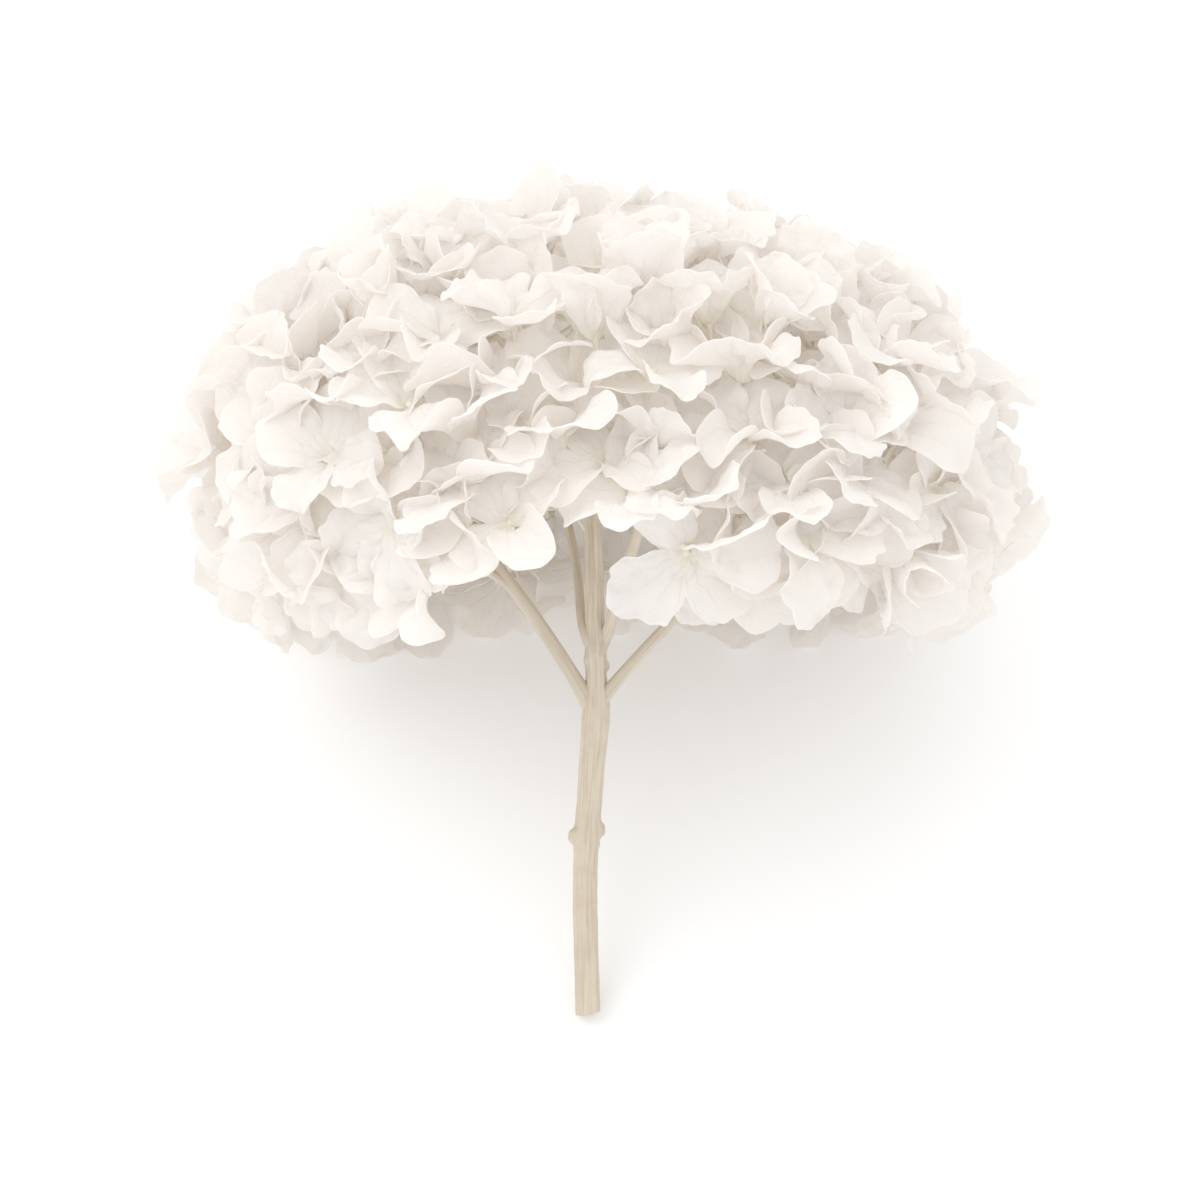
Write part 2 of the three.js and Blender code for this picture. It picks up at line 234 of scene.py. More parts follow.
def spread_directions():
    """Where the extra florets go: each takes the place of the head that is furthest from all the others."""
    golden = math.pi * (3 - math.sqrt(5))
    rise = np.linspace(1, LOWEST_TRY, TRIES)
    turn = np.arange(TRIES) * golden
    out = np.sqrt(1 - rise**2)
    tries = np.stack([out * np.cos(turn), rise, out * np.sin(turn)], -1)
    tries = tries[head_way(tries)[:, 1] > -RIM_DROP - RIM_SPARE]
    spots = pressed(head_point(tries))
    room = np.full(len(tries), np.inf)
    for place in main_place:
        room = np.minimum(room, np.linalg.norm(spots - place, axis=1))
    for across, drop, front, clear in GAPS:
        gap = [across * HALF_WIDTH + HEAD_OFFSET, RING_HEIGHT - drop * UNDER, front * HALF_DEPTH]
        room = np.minimum(room, np.linalg.norm(spots - gap, axis=1) - clear)
    chosen = []
    for _ in range(EXTRA_FLORETS):
        best = int(room.argmax())
        chosen.append(tries[best])
        room = np.minimum(room, np.linalg.norm(spots - spots[best], axis=1))
    return np.array(chosen)


floret_names = sorted(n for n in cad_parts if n.startswith("floret_"))
main = [read_floret(name) for name in floret_names]
main_place = np.array([m[0] for m in main])
main_facing = np.array([m[1] for m in main])
main_reach = np.array([m[2] for m in main])

head_size = np.array([HALF_WIDTH, RISE, HALF_DEPTH])
for branch in BRANCHES.values():
    branch["knot"] = np.array(branch["knot"]) * head_size + [HEAD_OFFSET, RING_HEIGHT, 0]
knot_places = np.array([b["knot"] for b in BRANCHES.values()])

extra_direction = spread_directions()
extra_place = pressed(head_point(extra_direction))


# ---------------------------------------------------------------- meshes


class Builder:
    """Gathers closed shells into one mesh, with the attributes and the map that its materials use.

    sheet is a corner's place on the flat sheet or bark, in millimetres. tone is how far along its shell it
    is, how deep in the head and a chance number. Each shell has one or two square cells of the map.
    """

    def __init__(self):
        self.corners, self.faces, self.slots = [], [], []
        self.sheet, self.tone, self.maps = [], [], []
        self.count = 0
        self.cells = 0

    def add(self, corners, faces, slot, sheet, tone, maps):
        """maps holds, for each face, its cell's number and its corners' places in that cell."""
        self.corners.append(corners)
        self.faces += [tuple(int(i) + self.count for i in face) for face in faces]
        self.slots += [slot] * len(faces)
        self.sheet.append(sheet)
        self.tone.append(tone)
        self.maps += maps
        self.count += len(corners)

    def cell(self):
        self.cells += 1
        return self.cells - 1

    def finish(self, name, materials, soft=True):
        """The shells as one object. A soft one is pressed near the floor, a hard one only kept over it."""
        corners = to_world(np.concatenate(self.corners))
        low = corners[:, 2]
        if soft:
            room = PRESS_FROM - PRESS_TO
            crowded = PRESS_TO + room * np.exp((np.minimum(low, PRESS_FROM) - PRESS_FROM) / room)
            corners[:, 2] = np.where(low < PRESS_FROM, crowded, low)
        else:
            corners[:, 2] = np.maximum(low, FLOOR_GAP)
        mesh = bpy.data.meshes.new(name)
        mesh.from_pydata((corners * MM).tolist(), [], self.faces)
        mesh.polygons.foreach_set("material_index", self.slots)
        for material in materials:
            mesh.materials.append(material)
        for key, rows in (("sheet", self.sheet), ("tone", self.tone)):
            layer = mesh.attributes.new(key, "FLOAT_VECTOR", "POINT")
            layer.data.foreach_set("vector", np.concatenate(rows).astype(np.float32).ravel())
        mesh.uv_layers.new(name="OFBake").uv.foreach_set("vector", self.flat_map())
        mesh.update()
        mesh.shade_smooth()
        mesh.set_sharp_from_angle(angle=SHARP_EDGE)
        piece = bpy.data.objects.new(name, mesh)
        bpy.context.scene.collection.objects.link(piece)
        return piece

    def flat_map(self):
        """The cells laid out in rows on one square."""
        across = math.ceil(math.sqrt(self.cells))
        down = math.ceil(self.cells / across)
        used = 1 - 2 * CELL_MARGIN
        flat = []
        for cell, places in self.maps:
            column, row = cell % across, cell // across
            for u, v in places:
                flat += [(column + CELL_MARGIN + used * u) / across, (row + CELL_MARGIN + used * v) / down]
        return np.array(flat, np.float32)


# A square grid laid on a disk, which gives a sepal its corners with no pinched ones.
grid_line = np.linspace(-1, 1, SEPAL_GRID)
grid_a, grid_b = np.meshgrid(grid_line, grid_line, indexing="ij")
disk_x = grid_a * np.sqrt(1 - grid_b**2 / 2)
disk_y = grid_b * np.sqrt(1 - grid_a**2 / 2)
disk_far = np.hypot(disk_x, disk_y)
disk_turn = np.arctan2(disk_x, disk_y)

SHEET_CORNERS = SEPAL_GRID**2
index = np.arange(SHEET_CORNERS).reshape(SEPAL_GRID, SEPAL_GRID)
grid_quads = np.stack([index[:-1, :-1], index[1:, :-1], index[1:, 1:], index[:-1, 1:]], -1).reshape(-1, 4)
edge_loop = np.concatenate([index[:-1, 0], index[-1, :-1], index[:0:-1, -1], index[0, :0:-1]])
next_on_edge = np.roll(edge_loop, -1)
edge_quads = np.stack(
    [edge_loop, edge_loop + SHEET_CORNERS, next_on_edge + SHEET_CORNERS, next_on_edge], -1
)
SHEET_SHARE = 0.94  # of the cell, which leaves a strip round it for the sepal's edge
unit_map = np.stack([(grid_a + 1) / 2, (grid_b + 1) / 2], -1).reshape(-1, 2) * SHEET_SHARE
unit_map = unit_map + (1 - SHEET_SHARE) / 2
top_places = [[tuple(unit_map[i]) for i in quad] for quad in grid_quads]


def edge_places():
    """The places of the sepal's edge in the strip round the cell's sheet."""
    out_to = (unit_map - 0.5) * (0.995 / SHEET_SHARE) + 0.5
    return [
        [tuple(unit_map[a]), tuple(out_to[a]), tuple(out_to[d]), tuple(unit_map[d])]
        for a, _, _, d in edge_quads
    ]


rim_places = edge_places()


def sepal_outline(length, width, point, ragged, phase):
    """The flat sheet: each grid corner's place across and along it."""
    wave = 1 + 0.022 * np.sin(5 * disk_turn + phase) + 0.016 * np.sin(8 * disk_turn + 2.3 * phase)
    wave = wave + ragged * (np.sin(11 * disk_turn + 3.1 * phase) + np.sin(14 * disk_turn - 4.7 * phase))
    foot = ((1 - np.cos(disk_turn)) / 2) ** 1.6
    side = np.sign(np.sin(disk_turn)) * np.abs(np.sin(disk_turn)) ** 0.86
    out_x = width * side * (1 + 0.10 * np.cos(disk_turn)) * (1 - 0.42 * foot) * wave
    out_y = length * (0.5 + 0.5 * np.cos(disk_turn) * wave)
    out_y += length * point * np.exp(-((disk_turn / 0.26) ** 2))
    middle_y = 0.53 * length
    return disk_far * out_x, middle_y + disk_far * (out_y - middle_y)


def middle_line(share, length, rise, mid, tip):
    """Out, up and slope at each share of the middle line, which is steep at its foot and then bends over."""
    longest = 1.12
    line = np.linspace(0, longest, 57)
    slope = np.interp(line, [0, 0.12, 0.5, longest], [rise, rise * 0.5 + mid * 0.5, mid, tip])
    slope = np.convolve(np.pad(slope, 4, mode="edge"), np.ones(9) / 9, mode="valid")
    step = (line[1] - line[0]) * length
    run = np.concatenate([[0], np.cumsum(np.cos(slope[:-1]) * step)])
    climb = np.concatenate([[0], np.cumsum(np.sin(slope[:-1]) * step)])
    return np.interp(share, line, run), np.interp(share, line, climb), np.interp(share, line, slope)


def sepal(
    length,
    width,
    rise,
    mid,
    tip,
    cup,
    fold,
    ruffle,
    lobes,
    pleats,
    pleat,
    crumple,
    twist,
    point,
    ragged,
    phase,
):
    """One sepal growing from the origin out along X: its grid of corners, and their places on the flat sheet.

    rise, mid and tip are how steeply it climbs at its foot, half way and at its tip. cup curves it across and
    fold creases its middle line. ruffle is how high its edge waves and lobes how often. pleats is how closely
    the pleats stand and pleat how high they are.
    """
    x, y = sepal_outline(length, width, point, ragged, phase)
    share = np.clip(y / length, 0, 1.12)
    base_run, base_climb, angle = middle_line(share, length, rise, mid, tip)
    turned = cup / width * x
    safe = np.where(np.abs(turned) < 1e-6, 1e-6, turned)
    lateral = x * np.sin(safe) / safe
    lift = x * (1 - np.cos(safe)) / safe
    lift = lift + fold * (np.sqrt(x**2 + 1.0) - 1.0)
    ripple = np.sin(lobes * disk_turn + phase) + 0.5 * np.sin((lobes + 2) * disk_turn - 1.7 * phase)
    lift = lift + ruffle * disk_far**2.6 * ripple
    # Pleats fan out from the foot, and the dry sheet is crumpled into soft facets.
    fan = np.arctan2(x, y + 0.2 * length)
    lift = lift + pleat * share**1.3 * (np.abs(np.sin(pleats * fan + phase)) - 0.64)
    for way, fine, big in ((0.4, 0.36, 1.0), (1.5, 0.47, 1.0), (2.6, 0.66, 0.7), (0.9, 0.9, 0.35)):
        line_way = phase * 1.7 + way
        place = (x * math.cos(line_way) + y * math.sin(line_way)) * fine
        facet = np.abs(np.sin(place + phase * way * 3)) - 0.64
        lift = lift + crumple * big * (0.35 + disk_far) * facet
    roll = twist * share
    lateral, lift = (
        lateral * np.cos(roll) - lift * np.sin(roll),
        lateral * np.sin(roll) + lift * np.cos(roll),
    )
    corners = np.stack([base_run - lift * np.sin(angle), lateral, base_climb + lift * np.cos(angle)], -1)
    return corners, x, y


def random_sepal(local, size, outer, opening, droop):
    """A sepal of a random shape. Some are bent back, some folded along their middle and some rolled."""
    length = size * local.uniform(0.92, 1.06) * (1.03 if outer else 0.97)
    width = length * local.uniform(0.44, 0.60) * (1 - 0.14 * droop)
    mid = opening + local.normal(0, 0.13)
    bent = local.random() < 0.18 + 0.4 * droop
    style = local.random()
    folded = style < 0.2
    rolled = 0.2 < style < 0.38
    shape, x, y = sepal(
        length=length,
        width=width,
        rise=math.radians(42) + 0.5 * mid,
        mid=mid,
        tip=mid + (local.uniform(-1.2, -0.5) if bent else local.normal(-0.12, 0.32)),
        cup=local.normal(0.36, 0.36) + (local.choice([-1.2, 0.8]) if rolled else 0),
        fold=local.uniform(0, 0.38) + (local.uniform(0.3, 0.7) if folded else 0),
        ruffle=local.uniform(0.3, 1.3),
        lobes=int(local.integers(2, 5)),
        pleats=local.uniform(2.2, 4.2),
        pleat=local.uniform(0.4, 2.0),
        crumple=0.26 + 0.8 * local.random() ** 2,
        twist=local.normal(0, 0.22),
        point=local.choice([0.0, 0.05, 0.10, 0.15]),
        ragged=0.006 + 0.024 * local.random() ** 2,
        phase=local.uniform(0, 6.28),
    )
    return shape + [0.7, 0, -0.25 if outer else 0.15], x, y, length


def add_sheet(builder, place, x, y, length, tone, seed):
    """A closed thin shell on the sepal's grid."""
    along_a = np.gradient(place, axis=0)
    along_b = np.gradient(place, axis=1)
    out = unit(np.cross(along_a, along_b))
    top = place + out * SEPAL_THICKNESS / 2
    bottom = place - out * SEPAL_THICKNESS / 2
    corners = np.concatenate([top.reshape(-1, 3), bottom.reshape(-1, 3)])
    faces = np.concatenate([grid_quads, grid_quads[:, ::-1] + SHEET_CORNERS, edge_quads])
    sheet = np.stack([x, y, np.full_like(x, seed)], -1).reshape(-1, 3)
    rows = np.empty((SHEET_CORNERS, 3))
    rows[:, 0] = np.clip(y / length, 0, 1.2).ravel()
    rows[:, 1:] = tone
    front, back = builder.cell(), builder.cell()
    maps = [(front, p) for p in top_places]
    maps += [(back, p[::-1]) for p in top_places]
    maps += [(front, p) for p in rim_places]
    builder.add(corners, faces.tolist(), SEPAL_SLOT, np.tile(sheet, (2, 1)), np.tile(rows, (2, 1)), maps)


def tube_map(cell, share, sides):
    """A tube's sides fill its cell, apart from a strip at each end that its caps are on."""
    strip = 0.04
    maps = []
    for low, high in zip(share[:-1], share[1:]):
        v0, v1 = strip + (1 - 2 * strip) * low, strip + (1 - 2 * strip) * high
        for k in range(sides):
            u0, u1 = k / sides, (k + 1) / sides
            maps.append((cell, [(u0, v0), (u1, v0), (u1, v1), (u0, v1)]))
    for k in range(sides):
        u0, middle, u1 = k / sides, (k + 0.5) / sides, (k + 1) / sides
        maps.append((cell, [(middle, 0), (u1, strip), (u0, strip)]))
    for k in range(sides):
        u0, middle, u1 = k / sides, (k + 0.5) / sides, (k + 1) / sides
        maps.append((cell, [(middle, 1), (u0, 1 - strip), (u1, 1 - strip)]))
    return maps


def add_tube(builder, points, radii, sides, slot, tone, ridges=None):
    """A closed round tube along a line of points. ridges(turn, along) swells its surface."""
    points = np.asarray(points, float)
    radii = np.asarray(radii, float)
    along = np.concatenate([[0], np.cumsum(np.linalg.norm(np.diff(points, axis=0), axis=1))])
    forward = unit(np.gradient(points, axis=0))
    side = unit(np.cross(forward[0], [0.3, 0.2, 1.0]))
    turn = np.linspace(0, 2 * math.pi, sides, endpoint=False)
    rings = []
    for i, (point, ahead) in enumerate(zip(points, forward)):
        side = unit(side - (side @ ahead) * ahead)
        other = np.cross(ahead, side)
        radius = radii[i] * np.ones(sides)
        if ridges is not None:
            radius = radius + ridges(turn, along[i])
        ring = np.cos(turn)[:, None] * side + np.sin(turn)[:, None] * other
        rings.append(point + radius[:, None] * ring)
    count = len(points)
    start = points[0] - forward[0] * radii[0] * 0.25
    tip = points[-1] + forward[-1] * radii[-1] * 0.4
    corners = np.concatenate([np.array(rings).reshape(-1, 3), [start, tip]])
    place = np.arange(count * sides).reshape(count, sides)
    after = np.roll(place, -1, axis=1)
    quads = np.stack([place[:-1], after[:-1], after[1:], place[1:]], -1).reshape(-1, 4)
    first, last = count * sides, count * sides + 1
    caps = [(first, int(after[0, k]), int(place[0, k])) for k in range(sides)]
    caps += [(last, int(place[-1, k]), int(after[-1, k])) for k in range(sides)]
    sheet = np.zeros((len(corners), 3))
    sheet[:-2, 0] = np.tile(turn, count) * radii.mean()
    sheet[:-2, 1] = np.repeat(along, sides)
    sheet[-1, 1] = along[-1]
    sheet[:, 2] = tone[1] * 50
    share = along / along[-1]
    rows = np.zeros((len(corners), 3))
    rows[:-2, 0] = np.repeat(share, sides)
    rows[-1, 0] = 1
    rows[:, 1:] = tone
    builder.add(corners, quads.tolist() + caps, slot, sheet, rows, tube_map(builder.cell(), share, sides))


def curve_through(points, steps):
    """A smooth line through a few points."""
    points = np.asarray(points, float)
    padded = np.concatenate([[2 * points[0] - points[1]], points, [2 * points[-1] - points[-2]]])
    out = []
    for i in range(len(points) - 1):
        p0, p1, p2, p3 = padded[i : i + 4]
        for t in np.linspace(0, 1, steps, endpoint=False):
            slope = (p2 - p0) * t
            bend = (2 * p0 - 5 * p1 + 4 * p2 - p3) * t**2
            last = (3 * p1 - p0 - 3 * p2 + p3) * t**3
            out.append(0.5 * (2 * p1 + slope + bend + last))
    return np.array(out + [points[-1]])


def frame_of(facing, spin):
    """Axes whose third is the facing, turned about it by spin."""
    facing = unit(np.asarray(facing, float))
    start = np.array([0, 1, 0]) if abs(facing[1]) < 0.9 else np.array([1, 0, 0])
    side = unit(np.cross(start, facing))
    other = np.cross(facing, side)
    c, s = math.cos(spin), math.sin(spin)
    return np.stack([c * side + s * other, -s * side + c * other, facing])


def add_bud(builder, place, facing, depth, local):
    """A small closed ball with four lobes."""
    bud = BUD_RADIUS * local.uniform(0.85, 1.25)
    climb = np.linspace(0.06, math.pi - 0.06, 7)
    line = [place + facing * (0.55 * bud - 0.9 * bud * math.cos(c)) for c in climb]

    def lobes(turn, along):
        return 0.10 * bud * np.cos(4 * turn) * math.sin(math.pi * min(along / (2 * bud), 1))

    tone = (depth, local.random())
    add_tube(builder, line, bud * np.sin(climb), sides=12, slot=BUD_SLOT, tone=tone, ridges=lobes)


def add_stalk(builder, place, facing, fork, depth, local):
    """The stalk widens into the cup under the sepals."""
    behind = place - facing * 7.0
    bend = (fork + behind) / 2 * 0.5 + (behind - facing * 3) * 0.5
    path = curve_through([fork, bend, behind, place + facing * 0.2], 5)
    share = np.linspace(0, 1, len(path))
    cup = np.clip((share - 0.86) / 0.14, 0, 1) ** 1.5
    radii = 0.5 + 0.12 * (1 - share) + 0.75 * cup
    add_tube(builder, path, radii, sides=8, slot=STALK_SLOT, tone=(depth, local.random()))


def add_floret(builder, place, facing, spin, size, opening, depth, droop, fork, seed):
    """Four sepals, the bud between them and the stalk that leads to a fork behind."""
    axes = frame_of(facing, spin)
    local = np.random.default_rng(1000 + seed)
    pair_turn = local.normal(0, 0.06, 2)
    floret_tone = local.uniform(0, 1)
    for k in range(4):
        turn = k * math.pi / 2 + pair_turn[k % 2] + local.normal(0, 0.09)
        shape, x, y, length = random_sepal(local, size, k % 2 == 0, opening, droop)
        c, s = math.cos(turn), math.sin(turn)
        across = shape[..., 0] * c - shape[..., 1] * s
        along = shape[..., 0] * s + shape[..., 1] * c
        shape = np.stack([across, along, shape[..., 2]], -1)
        tone = (depth, 0.6 * floret_tone + 0.4 * local.random())
        add_sheet(builder, shape @ axes + place, x, y, length, tone, seed * 13 + k * 3.1)
    add_bud(builder, place, axes[2], depth, local)
    add_stalk(builder, place, axes[2], fork, depth, local)


# ---------------------------------------------------------------- materials


def new_material(name):
    material = bpy.data.materials.new(name)
    material.use_nodes = True
    tree = material.node_tree
    tree.nodes.clear()
    return material, tree


def node(tree, kind, inputs=(), **settings):
    made = tree.nodes.new(kind)
    for key, value in settings.items():
        setattr(made, key, value)
    for key, value in dict(inputs).items():
        if isinstance(value, bpy.types.NodeSocket):
            tree.links.new(value, made.inputs[key])
        else:
            made.inputs[key].default_value = value
    return made


def maths(tree, operation, *values):
    return node(tree, "ShaderNodeMath", dict(enumerate(values)), operation=operation).outputs[0]


def smooth(tree, value, low, high, to_low=0.0, to_high=1.0):
    inputs = {"Value": value, "From Min": low, "From Max": high, "To Min": to_low, "To Max": to_high}
    return node(tree, "ShaderNodeMapRange", inputs, interpolation_type="SMOOTHSTEP").outputs[0]


def blend(tree, factor, a, b):
    return node(tree, "ShaderNodeMix", {0: factor, 6: a, 7: b}, data_type="RGBA").outputs[2]


def noise(tree, vector, scale, detail, **inputs):
    inputs = {"Vector": vector, "Scale": scale, "Detail": detail, **inputs}
    return node(tree, "ShaderNodeTexNoise", inputs)


def read_attributes(tree):
    """The sheet, and the tone's three numbers."""
    sheet = node(tree, "ShaderNodeAttribute", attribute_name="sheet").outputs["Vector"]
    tone = node(tree, "ShaderNodeAttribute", attribute_name="tone").outputs["Vector"]
    return sheet, node(tree, "ShaderNodeSeparateXYZ", {0: tone}).outputs


def sepal_veins(tree, sheet, share):
    """Main veins that fan out from the foot, and the fine net that joins them."""
    flat = node(tree, "ShaderNodeSeparateXYZ", {0: sheet})
    x, y = flat.outputs[0], flat.outputs[1]
    warp = noise(tree, sheet, 0.22, 2.0)
    sway = maths(tree, "MULTIPLY", maths(tree, "SUBTRACT", warp.outputs[0], 0.5), 3.0)
    bent_x = maths(tree, "ADD", x, sway)
    from_foot = maths(tree, "ADD", y, 3.0)
    turn = maths(tree, "ARCTAN2", bent_x, from_foot)
    squares = maths(tree, "ADD", maths(tree, "POWER", bent_x, 2.0), maths(tree, "POWER", from_foot, 2.0))
    per_turn = 3.4
    spaced = maths(tree, "PINGPONG", maths(tree, "MULTIPLY", turn, per_turn), 0.5)
    off_vein = maths(tree, "MULTIPLY", maths(tree, "DIVIDE", spaced, per_turn), maths(tree, "SQRT", squares))
    veins = smooth(tree, off_vein, 0.42, 0.05)
    veins = maths(tree, "MULTIPLY", veins, smooth(tree, share, 1.0, 0.45, 0.15, 1.0))
    shift = node(tree, "ShaderNodeVectorMath", {0: sheet, 1: warp.outputs["Color"]}, operation="ADD")
    cells = {"Vector": shift.outputs[0], "Scale": 0.62}
    net = node(tree, "ShaderNodeTexVoronoi", cells, feature="DISTANCE_TO_EDGE")
    return veins, smooth(tree, net.outputs[0], 0.10, 0.0)


def sepal_material():
    """A dry, thin, ivory sheet that light comes through, with veins, blotches, a greenish-cream foot and
    painted shade deep in the head.
    """
    ivory, pink, warm_and_shade = (0.957, 0.933, 0.912, 1), (0.954, 0.926, 0.914, 1), (0.948, 0.912, 0.868, 1)
    foot, cream = (0.90, 0.865, 0.745, 1), (0.975, 0.94, 0.87, 1)
    material, tree = new_material("sepal")
    sheet, (share, depth, chance) = read_attributes(tree)
    veins, net = sepal_veins(tree, sheet, share)
    crinkle = noise(tree, sheet, 0.45, 4.0, Roughness=0.55).outputs[0]
    grain = noise(tree, sheet, 3.5, 2.0).outputs[0]
    blotch = noise(tree, sheet, 0.12, 3.0).outputs[0]

    colour = blend(tree, smooth(tree, chance, 0.2, 0.9, 0.0, 0.8), ivory, pink)
    colour = blend(tree, smooth(tree, blotch, 0.45, 0.8, 0.0, 0.35), colour, warm_and_shade)
    colour = blend(tree, maths(tree, "MULTIPLY", veins, 0.34), colour, warm_and_shade)
    colour = blend(tree, maths(tree, "MULTIPLY", net, 0.10), colour, warm_and_shade)
    colour = blend(tree, smooth(tree, share, 0.30, 0.02, 0.0, 0.75), colour, foot)
    # Painted shade: the sepals of florets sunk deep in the head are tinted warmer and darker.
    colour = blend(tree, maths(tree, "MULTIPLY", depth, 0.55), colour, warm_and_shade)

    height = maths(tree, "MULTIPLY", veins, -0.75)
    height = maths(tree, "ADD", height, maths(tree, "MULTIPLY", net, -0.22))
    puckered = smooth(tree, chance, 0.74, 0.96, 1.5, 5.0)
    height = maths(tree, "ADD", height, maths(tree, "MULTIPLY", crinkle, puckered))
    height = maths(tree, "ADD", height, maths(tree, "MULTIPLY", grain, 0.12))
    bump = node(tree, "ShaderNodeBump", {"Height": height, "Strength": 0.55, "Distance": 0.0004}).outputs[0]

    rough = smooth(tree, crinkle, 0.3, 0.7, 0.62, 0.82)
    inputs = {"Base Color": colour, "Roughness": rough, "Normal": bump}
    inputs |= {"Specular IOR Level": 0.28, "Sheen Weight": 0.12}
    solid = node(tree, "ShaderNodeBsdfPrincipled", inputs)
    # Light that comes through a sepal is creamier than light it turns back.
    cream = blend(tree, 0.35, colour, cream)
    through = node(tree, "ShaderNodeBsdfTranslucent", {"Color": cream, "Normal": bump})
    mixed = node(tree, "ShaderNodeMixShader", {0: 0.58, 1: solid.outputs[0], 2: through.outputs[0]})
    node(tree, "ShaderNodeOutputMaterial", {"Surface": mixed.outputs[0]})
    return material


def wood_material(name, light, dark, streak, young_and_lit=None):
    """Bark with streaks along it, of a given strength. Towards its tip it turns paler, if given: partly
    younger bark, partly painted light against the head's shade.
    """
    speck = (0.42, 0.31, 0.19, 1)
    material, tree = new_material(name)
    sheet, (share, _, chance) = read_attributes(tree)
    # Painted light, in part: the paler top of the stem also lifts the shade that the head casts on it.
    if young_and_lit:
        light = blend(tree, smooth(tree, share, 0.15, 0.6), light, young_and_lit)
    long = node(tree, "ShaderNodeMapping", {"Vector": sheet, "Scale": (1.0, 0.035, 1.0)}).outputs[0]
    fibres = noise(tree, long, 1.6, 5.0, Roughness=0.6).outputs[0]
    patches = noise(tree, sheet, 0.16, 3.0).outputs[0]
    specks = noise(tree, sheet, 2.2, 3.0).outputs[0]
    colour = blend(tree, smooth(tree, fibres, 0.42, 0.68, 0.0, streak), light, dark)
    colour = blend(tree, smooth(tree, patches, 0.45, 0.75, 0.0, 0.4), colour, dark)
    colour = blend(tree, smooth(tree, specks, 0.62, 0.72, 0.0, 0.35), colour, speck)
    colour = blend(tree, maths(tree, "MULTIPLY", chance, 0.15), colour, dark)
    height = maths(tree, "ADD", fibres, maths(tree, "MULTIPLY", specks, 0.25))
    bump = node(tree, "ShaderNodeBump", {"Height": height, "Strength": 0.6, "Distance": 0.0005}).outputs[0]
    rough = smooth(tree, fibres, 0.3, 0.7, 0.62, 0.85)
    inputs = {"Base Color": colour, "Roughness": rough, "Normal": bump, "Specular IOR Level": 0.3}
    solid = node(tree, "ShaderNodeBsdfPrincipled", inputs)
    node(tree, "ShaderNodeOutputMaterial", {"Surface": solid.outputs[0]})
    return material


sepal_look = sepal_material()
bud_look = wood_material("bud", (0.80, 0.735, 0.57, 1), (0.66, 0.56, 0.38, 1), 0.5)
stalk_look = wood_material("stalk", (0.74, 0.675, 0.54, 1), (0.61, 0.53, 0.39, 1), 0.6)
branch_look = wood_material("branch", (0.52, 0.43, 0.30, 1), (0.40, 0.31, 0.20, 1), 0.7)
# The stem turns paler upwards: partly younger bark, partly painted light against the head's shade.
stem_look = wood_material(
    "stem", (0.49, 0.39, 0.258, 1), (0.325, 0.242, 0.145, 1), 0.85, (0.62, 0.52, 0.365, 1)
)

# ---------------------------------------------------------------- florets

# Each main floret's stalk starts at a fork, on the way from the nearest knot.
home = np.array([int(np.linalg.norm(knot_places - p, axis=1).argmin()) for p in main_place])
forks = []
for i, place in enumerate(main_place):
    knot = knot_places[home[i]]
    foot = place - main_facing[i] * 13
    far = np.linalg.norm(foot - knot)
    forks.append(foot + (knot - foot) * min(14 / max(far, 1), 0.6))


def shelf(place):
    """How much the florets of the front's middle lie like shelves and are seen edge on."""
    across = np.exp(-(((place[0] - 8) / 60) ** 2))
    along = np.exp(-(((place[1] - 142) / 25) ** 2))
    return float(across * along * np.clip((place[2] - 25) / 40, 0, 1))


def lean_up(place, facing, amount):
    """Florets on the sides of the head turn some way towards its crown."""
    free = np.clip((height_over(place) - 14) / 30, 0, 1)
    band = np.clip((place[1] - 112) / 26, 0, 1)
    level = shelf(place) * free
    return unit(facing * (1 - 0.55 * level) + up * (amount * free * band + 0.7 * level))


def floret_settings(place, normal, size, sunk, lean, wander, hero=False):
    """Where a floret of the head sits, how it faces and how wide open it is."""
    low = height_over(place) < LYING
    level = 0.0 if (low or hero) else shelf(place)
    crown = np.clip((place[1] - 165) / 25, 0, 1)
    rim = np.clip((120 - place[1]) / 14, 0, 1)
    if low:
        facing = normal
    else:
        facing = normal if hero else lean_up(place, normal, lean)
        facing = unit(facing + rng.normal(0, wander + 0.1 * level, 3))
        side = np.clip((abs(place[0]) - 70) / 25, 0, 1)
        place = place - normal * (INSET + sunk + 7 * level + 2 * side) + up * (4.5 * rim - 5 * crown)
    if low:
        opening = 4
    elif hero:
        opening = rng.uniform(2, 12)
    else:
        opening = rng.uniform(6, 30) * (1 - 0.5 * level) + rng.uniform(5, 26) * crown
        if rng.random() < HALF_CLOSED_CHANCE:
            opening += rng.uniform(12, 32)
    return dict(
        place=place,
        facing=facing,
        spin=rng.uniform(0, 6.28),
        size=size,
        opening=math.radians(opening),
        # How deep the floret is sunk in the head; the sepals' colour turns it into painted shade.
        depth=np.clip(sunk / 11, 0, 1),
        droop=level,
    )


def main_floret(i):
    hero = i in HEROES
    size = np.clip(main_reach[i] * (1.02 if hero else 1.08), 18.0, 20.5)
    floret = floret_settings(main_place[i], main_facing[i], size, 0.0, 0.3, 0.05 if hero else 0.16, hero)
    if hero:
        across, climb, turn = HEROES[i]
        floret["place"] = floret["place"] + [across, climb, 0]
        floret["spin"] = turn
    return floret


def extra_floret(direction, place):
    """It faces out of the head's surface and away from the nearest knot, or down at the floor."""
    lifted = height_over(place) - height_over(head_point(direction))
    flat = np.clip(lifted / 9, 0, 1)
    knot = knot_places[np.linalg.norm(knot_places - place, axis=1).argmin()]
    normal = unit(head_normal(direction) * 0.55 + unit(place - knot) * 0.45)
    normal = unit(normal * (1 - flat) - floor_way * flat)
    return floret_settings(place, normal, rng.uniform(17, 21), 11 * rng.random() ** 1.3, 0.45, 0.24)


